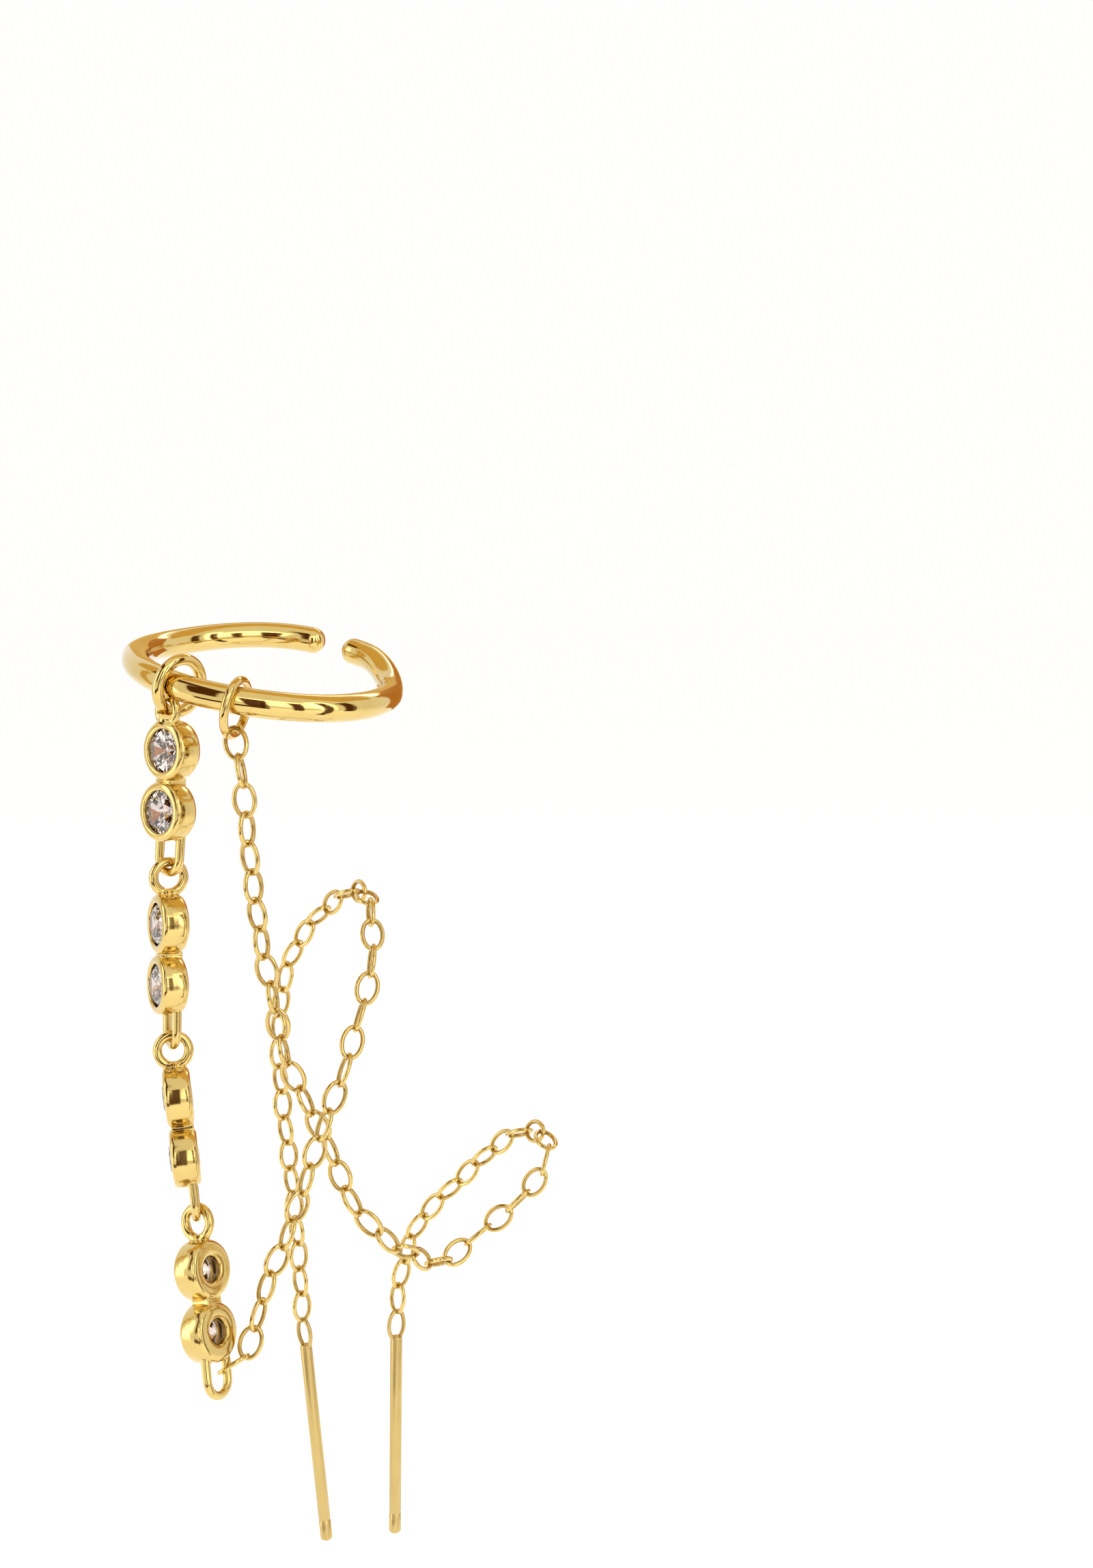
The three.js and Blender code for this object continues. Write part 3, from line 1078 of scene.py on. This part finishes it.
    def build(self, metal: Material, clear: Material) -> None:
        """Builds the link's setting and its two stones.

        Args:
            metal: The setting's material.
            clear: The stones' material.
        """
        hung = self.frame()
        setting = self.setting()
        bmesh.ops.transform(setting, matrix=hung, verts=setting.verts)
        name = f"setting_{self.number}"
        node = f"bezel_pair_{self.number}"
        finished(name, setting, metal, node)
        out = Matrix.Rotation(math.pi / 2, 4, "X")
        for k, height in enumerate(self.heights()[:2]):
            stone = self.stone.mesh(self.cup.stone_height(self.stone))
            turn = self.stone_turn + self.stone_step * (2 * self.number + k)
            spun = Matrix.Rotation(math.radians(turn), 4, "Z")
            place = hung @ Matrix.Translation((0, 0, height)) @ out @ spun
            bmesh.ops.transform(stone, matrix=place, verts=stone.verts)
            count = 2 * self.number - 1 + k
            finished(f"brilliant_{count}", stone, clear, f"stone_{count}", 0)


@dataclass
class Drop:
    """The hanging drop of four links, each in the loop of the one above."""

    hangs: tuple[Hang, ...] = (
        Hang(-40, 4.5, 0),
        Hang(-62, 1, -3),
        Hang(-80, -6.5, -6),
        Hang(-120, -7.8, -15),
    )
    hook: float = 34
    pairs: list[Pair] = field(default_factory=list)

    def hang_on(self, cuff: Cuff) -> None:
        """Hangs the links in one another from the cuff's bail.

        Args:
            cuff: The cuff.
        """
        bail = cuff.bail
        radius = (bail.inner + bail.wire) / 2
        first_inner = bail.wire + cuff.clear + radius * (1 - math.cos(math.radians(self.hook)))
        point = bail.rest(cuff, self.hook)
        for number, hang in enumerate(self.hangs, 1):
            pair = Pair(number, hang, point, first_inner)
            self.pairs.append(pair)
            point = pair.rest()

    def build(self, metal: Material, clear: Material) -> None:
        """Builds all the links."""
        for pair in self.pairs:
            pair.build(metal, clear)


# Chains


# Depth under the last cup where the upper chain goes round the loop's leg
LEG_DEPTH = 0.33

# Points of each chain's way, with the turn of the link there in degrees
LOBE_ROUTE = (
    (-0.17, -6.4, -4.25, 5),
    (0, -6.3, -6.8, 35),
    (0.25, -6.1, -9.5, 35),
    (0.55, -5.85, -12.1, 15),
    (1, -5.5, -14.65, 5),
    (1.4, -5.1, -17.2, 5),
    (2.4, -4.7, -19.6, 10),
    (3.5, -4.5, -21.95, 10),
    (4.2, -4.4, -24.05, 15),
    (5.75, -4.4, -25.85, 20),
    (7, -3.1, -27.1, 20),
    (8.4, -1.3, -28.1, 20),
    (9.8, -0.3, -27.15, 20),
    (11.85, -0.5, -25.4, 10),
    (13.3, -0.8, -23.4, 10),
    (13.2, 0.9, -22.4, 10),
    (11.6, 3, -23, 10),
    (9, 4.2, -25.6, 10),
    (6.7, 4.6, -28.2, 10),
    (5.95, 4.6, -30.5, 10),
    (5.65, 4.6, -32.9, 10),
    (5.6, 4.6, -35.5, 10),
)
UPPER_ROUTE = (
    (-0.15, -6.75, -30.4, 75),
    (0.15, -6.65, -28.9, 45),
    (0.6, -6.5, -27.4, 20),
    (1.5, -6.3, -25.2, 20),
    (2.35, -6.15, -22.8, 20),
    (3.1, -6, -20.4, 20),
    (4, -5.4, -18.1, 10),
    (4.6, -4.4, -15.9, 0),
    (5.2, -3.2, -13.5, 0),
    (5.1, -1.7, -11.2, 0),
    (4.4, 0.8, -10.4, 0),
    (2.5, 3.2, -11.6, 0),
    (0.6, 4.4, -14.2, 0),
    (-0.1, 4.6, -17.4, 0),
    (-0.05, 4.6, -20.9, 0),
    (0.35, 4.6, -25, 0),
    (0.7, 4.6, -29, 0),
    (0.9, 4.6, -32.8, 0),
    (1.2, 4.6, -36, 0),
)


@dataclass
class Route:
    """Smooth way through a chain's points."""

    points: list[Vector]

    def at(self, share: float) -> Vector:
        """Point at a share of the way.

        Args:
            share: 0 at the start and 1 at the end.

        Returns:
            The point.
        """
        points = self.points
        last = len(points) - 1
        place = last * share
        low = min(int(place), last - 1)
        step = place - low
        before = points[low - 1] if low > 0 else points[0] * 2 - points[1]
        after = points[low + 2] if low + 2 <= last else points[last] * 2 - points[last - 1]
        a, b, c, d = before, points[low], points[low + 1], after
        da, db, dc = (math.sqrt((p - q).length) for p, q in ((a, b), (b, c), (c, d)))
        start = ((b - a) / da - (c - a) / (da + db) + (c - b) / db) * db
        end = ((c - b) / db - (d - b) / (db + dc) + (d - c) / dc) * db
        square, cube = step * step, step * step * step
        return (
            b
            + start * step
            + (c * 3 - b * 3 - start * 2 - end) * square
            + (b * 2 - c * 2 + start + end) * cube
        )


@dataclass
class Threader:
    """Straight round post with a rounded tip, soldered to a link."""

    diameter: float = 0.62
    length: float = 10.5
    sink: float = 0.3
    groove: float = 1.15
    groove_depth: float = 0.02
    tip: float = 0.22

    def mesh(self) -> Mesh:
        """The post, its tip down along -Z.

        Returns:
            The post's mesh.
        """
        half = self.diameter / 2
        inner = half - self.groove_depth
        groove = self.groove - self.length
        outline = [(0, 0), (half * 0.55, -0.01), (half * 0.85, -0.05), (half, -0.16)]
        outline += [(half, groove + 0.07), (inner, groove + 0.045)]
        outline += [(inner, groove - 0.045), (half, groove - 0.07)]
        steps = 7
        for step in range(steps + 1):
            angle = 0.5 * math.pi * step / steps
            height = self.tip - self.length - self.tip * math.sin(angle)
            outline.append((half * math.cos(angle), height))
        outline[-1] = (0, -self.length)
        return turned_profile(outline, steps=32, closed=False)


@dataclass
class Chain:
    """Fine cable chain of oval links that ends in a threader post."""

    name: str
    node: str
    post_node: str
    route: Sequence[tuple[float, float, float, float]]
    count: int
    lean: float
    start: Vector
    pitch: float = 1.31
    width: float = 1.18
    wire: float = 0.22
    weld: float = 0.05
    clear: float = 0.05
    # Painted shade on the inner side of each link's wire; shade_rim is how far out it reaches.
    shade: float = 0.7
    shade_rim: float = 0.93
    post: Threader = field(default_factory=Threader)

    def half(self) -> float:
        """Half the length of a link along its wire's middle."""
        return (self.pitch + self.wire - self.weld) / 2

    def link(self) -> Mesh:
        """One oval link in the XY plane, its long way along X.

        Returns:
            The link's mesh.
        """
        mesh = wire_ring(1.0, 2 * self.wire, steps=32, sides=12)
        long, wide = self.half(), (self.width - self.wire) / 2
        for vert in mesh.verts:
            angle = math.atan2(vert.co.y, vert.co.x)
            inset = (math.hypot(vert.co.x, vert.co.y) - 1.0) / 2
            way = Vector((wide * math.cos(angle), long * math.sin(angle), 0)).normalized()
            middle = Vector((long * math.cos(angle), wide * math.sin(angle), 0))
            vert.co = middle + way * inset + Vector((0, 0, vert.co.z / 2))
        # Paints shade on the inner side of the wire.
        rim = self.shade_rim
        paint(mesh, lambda at: self.shade * (math.hypot(at.x / long, at.y / wide) < rim))
        return mesh

    def joints(self) -> list[tuple[Vector, float]]:
        """Finds where neighbouring links meet.

        Returns:
            The points, each with the turn of its link.
        """
        route = Route([self.start] + [Vector(row[:3]) for row in self.route])
        turns = [self.route[0][3]] + [row[3] for row in self.route]
        samples = 12000
        found = [(self.start.copy(), float(turns[0]))]
        for i in range(1, samples + 1):
            point = route.at(i / samples)
            if (point - found[-1][0]).length >= self.pitch:
                place = (i / samples) * (len(turns) - 1)
                low = min(int(place), len(turns) - 2)
                found.append((point, turns[low] + (place - low) * (turns[low + 1] - turns[low])))
                if len(found) > self.count:
                    break
        return found

    def frames(self) -> list[Matrix]:
        """Turns each link a quarter round from its neighbour.

        Returns:
            The places of the links.
        """
        joints = self.joints()
        places = []
        face = Vector((0, -1, 0))
        for i, ((point, turn), (after, _)) in enumerate(zip(joints, joints[1:])):
            along = (after - point).normalized()
            face = (face - along * face.dot(along)).normalized()
            normal = Matrix.Rotation(math.radians(turn + (i % 2) * 90), 3, along) @ face
            across = normal.cross(along)
            basis = Matrix((along, across, normal)).transposed().to_4x4()
            places.append(Matrix.Translation((point + after) / 2) @ basis)
        return places

    def post_parts(self, last: Matrix) -> list[tuple[Mesh, Matrix]]:
        """The post and its link.

        Args:
            last: Place of the chain's last link.

        Returns:
            Both meshes with their places.
        """
        lean = math.radians(self.lean)
        along = Vector((-math.sin(lean), 0, -math.cos(lean)))
        ahead = last.to_3x3() @ Vector((1, 0, 0))
        end = last.translation + ahead * (self.pitch / 2)
        centre = end + along * (self.pitch / 2 + self.weld + self.clear)
        normal = last.to_3x3() @ Vector((0, 1, 0))
        normal = (normal - along * normal.dot(along)).normalized()
        across = normal.cross(along)
        basis = Matrix((along, across, normal)).transposed().to_4x4()
        top = centre + along * (self.half() + self.wire / 2 - self.post.sink)
        aim = Vector((0, 0, -1)).rotation_difference(along).to_matrix().to_4x4()
        return [
            (self.link(), Matrix.Translation(centre) @ basis),
            (self.post.mesh(), Matrix.Translation(top) @ aim),
        ]

    def build(self, metal: Material, satin: Material) -> None:
        """Builds the chain and its post.

        Args:
            metal: The links' material.
            satin: The post's material.
        """
        places = self.frames()
        link = self.link()
        whole = joined([(link, place) for place in places])
        finished(f"{self.name}_links", whole, metal, self.node)
        post = joined(self.post_parts(places[-1]))
        finished(f"{self.name}_threader", post, satin, self.post_node)


def lobe_start(cuff: Cuff) -> Vector:
    """Where the lobe chain starts in the cuff's small ring.

    Args:
        cuff: The cuff.

    Returns:
        The point.
    """
    point = cuff.small_ring.rest(cuff, 0)
    point.z += Chain.clear + Chain.weld / 2
    return point


def upper_start(drop: Drop) -> Vector:
    """Where the upper chain starts, round the right leg of the drop's last loop.

    Args:
        drop: The drop.

    Returns:
        The point.
    """
    pair = drop.pairs[-1]
    bottom = pair.heights()[2]
    side = (pair.loop_wire - pair.loop_width) / 2
    leg = Vector((side, pair.loop_back, bottom - LEG_DEPTH))
    spot = pair.frame() @ leg
    down = pair.frame() @ (leg - Vector((0, 0, 1))) - spot
    pull = (Vector(UPPER_ROUTE[0][:3]) - spot).normalized()
    reach = (pair.loop_wire / 2 + Chain.clear + Chain.weld / 2) / math.sin(pull.angle(down))
    return spot - pull * reach


# Studio


@dataclass
class Panel:
    """Flat panel that faces the ear cuff: a soft light or a card."""

    name: str
    azimuth: float
    height: float
    distance: float
    width: float
    tall: float
    glow: float
    card: str = "brown"

    def place(self, centre: Vector) -> Matrix:
        """Faces the panel towards a point.

        Args:
            centre: The point.

        Returns:
            The panel's place.
        """
        angle = math.radians(self.azimuth)
        low = math.radians(self.height)
        way = Vector(
            (math.sin(angle) * math.cos(low), -math.cos(angle) * math.cos(low), math.sin(low))
        )
        turn = way.to_track_quat("Z", "Y").to_matrix().to_4x4()
        return Matrix.Translation(centre + way * self.distance) @ turn

    def build(self, centre: Vector, cards: dict[str, Material]) -> None:
        """Builds the panel.

        Args:
            centre: The point that it faces.
            cards: Materials of the cards by name.
        """
        place = self.place(centre)
        if self.glow > 0:
            lamp = bpy.data.lights.new(self.name, "AREA")
            lamp.shape = "RECTANGLE"
            lamp.size, lamp.size_y = self.width, self.tall
            lamp.energy = self.glow * math.pi * self.width * self.tall
            panel = bpy.data.objects.new(self.name, lamp)
            bpy.context.scene.collection.objects.link(panel)
            panel.matrix_world = place
        else:
            mesh = bmesh.new()
            size = Matrix.Diagonal((self.width, self.tall, 1, 1))
            bmesh.ops.create_grid(mesh, x_segments=1, y_segments=1, size=0.5, matrix=place @ size)
            panel = linked(self.name, mesh, cards[self.card])
            panel.visible_camera = False
            panel.visible_diffuse = False
            panel.visible_shadow = False


@dataclass
class Studio:
    """Pale floor, soft lights, cards and the camera."""

    floor_height: float = -0.085
    centre: tuple[float, float, float] = (0.003, 0.0, -0.02)
    glow: float = 1.0
    sensor: float = 36
    lens: float = 48.76
    camera_place: tuple[float, float, float] = (0.0133, -0.09999, 0.00532)
    camera_pitch: float = 84
    panels: tuple[Panel, ...] = (
        Panel("front_softbox", 22, 22, 0.35, 0.46, 0.24, 1.4),
        Panel("left_softbox", -75, 12, 0.3, 0.1, 0.3, 1.8),
        Panel("right_softbox", 62, 20, 0.3, 0.08, 0.3, 1.8),
        Panel("back_softbox", 160, 35, 0.4, 0.2, 0.14, 2.0),
        Panel("front_card", 1, 12, 0.08, 0.026, 0.085, 0.0),
        Panel("high_card", -62, 58, 0.2, 0.2, 0.045, 0.0),
        Panel("left_front_card", -38, 30, 0.22, 0.09, 0.16, 0.0),
        Panel("left_card", -100, 0, 0.25, 0.04, 0.4, 0.0, "amber"),
        Panel("right_card", 82, 0, 0.25, 0.05, 0.4, 0.0),
        Panel("right_canopy", 150, 0, 0.25, 0.16, 0.4, 0.0, "orange"),
        Panel("side_card", 35, 15, 0.08, 0.014, 0.07, 0.0),
        Panel("rim_card", 60, 2, 0.08, 0.012, 0.15, 0.0),
        Panel("low_card", -30, -17, 0.16, 0.14, 0.035, 0.0),
        Panel("low_back_card", 180, -35, 0.2, 0.3, 0.12, 0.0, "amber"),
        Panel("top_canopy", 180, 72, 0.25, 0.5, 0.16, 0.0, "amber"),
        Panel("back_canopy", 180, 22, 0.3, 0.22, 0.2, 0.0, "amber"),
    )

    def world(self) -> None:
        """Even pale light from all round."""
        world = bpy.data.worlds.new("studio")
        world.use_nodes = True
        sky = world.node_tree.nodes["Background"]
        sky.inputs["Color"].default_value = (1.0, 0.995, 0.985, 1.0)
        sky.inputs["Strength"].default_value = self.glow
        bpy.context.scene.world = world

    def floor(self, paper: Material) -> None:
        """Wide pale floor.

        Args:
            paper: Its material.
        """
        mesh = bmesh.new()
        low = Matrix.Translation((0, 0, self.floor_height))
        bmesh.ops.create_grid(mesh, x_segments=1, y_segments=1, size=3.0, matrix=low)
        linked("floor", mesh, paper)

    def camera(self) -> None:
        """Camera at the photograph's angle."""
        data = bpy.data.cameras.new("camera")
        data.sensor_width = self.sensor
        data.lens = self.lens
        data.clip_start, data.clip_end = 0.005, 20
        camera = bpy.data.objects.new("camera", data)
        camera.location = self.camera_place
        camera.rotation_euler = (math.radians(self.camera_pitch), 0, 0)
        bpy.context.scene.collection.objects.link(camera)
        bpy.context.scene.camera = camera

    def build(self) -> None:
        """Sets up the studio."""
        self.world()
        self.floor(PlainPaper("pale_paper", (1.0, 1.0, 1.0, 1.0)).material())
        cards = {
            "brown": PlainPaper("brown_card", (0.075, 0.022, 0.004, 1.0)).material(),
            "amber": PlainPaper("amber_card", (0.6, 0.4, 0.13, 1.0)).material(),
            "orange": PlainPaper("orange_card", (0.42, 0.17, 0.03, 1.0)).material(),
        }
        for panel in self.panels:
            panel.build(Vector(self.centre), cards)
        self.camera()
        bpy.context.scene.view_settings.view_transform = "Standard"


def main() -> None:
    """Builds the ear cuff and its studio."""
    logging.basicConfig(level=logging.INFO, format="%(name)s: %(message)s")
    bright = GoldPlate("bright_gold", Polish.BRIGHT).material()
    cast = GoldPlate("cast_gold", Polish.SOFT, wave=0.008, wave_scale=1.1).material()
    fine = GoldPlate("fine_gold", Polish.SOFT, wave=0.003, wave_scale=2.0).material()
    pale = (0.62, 0.45, 0.165, 1.0)
    satin = GoldPlate("satin_gold", Polish.SATIN, pale, wave=0.002, wave_scale=1.0, gloss=0.2)
    satin = satin.material()
    clear = CutStone("clear_stone").material()
    cuff = Cuff()
    cuff.build(bright)
    drop = Drop()
    drop.hang_on(cuff)
    drop.build(cast, clear)
    lobe = Chain("lobe", "lobe_chain", "lobe_post", LOBE_ROUTE, 41, 0.8, lobe_start(cuff))
    lobe.build(fine, satin)
    upper = Chain("upper", "upper_chain", "upper_post", UPPER_ROUTE, 39, -5.3, upper_start(drop))
    upper.build(fine, satin)
    Studio().build()


if __name__ == "__main__":
    main()
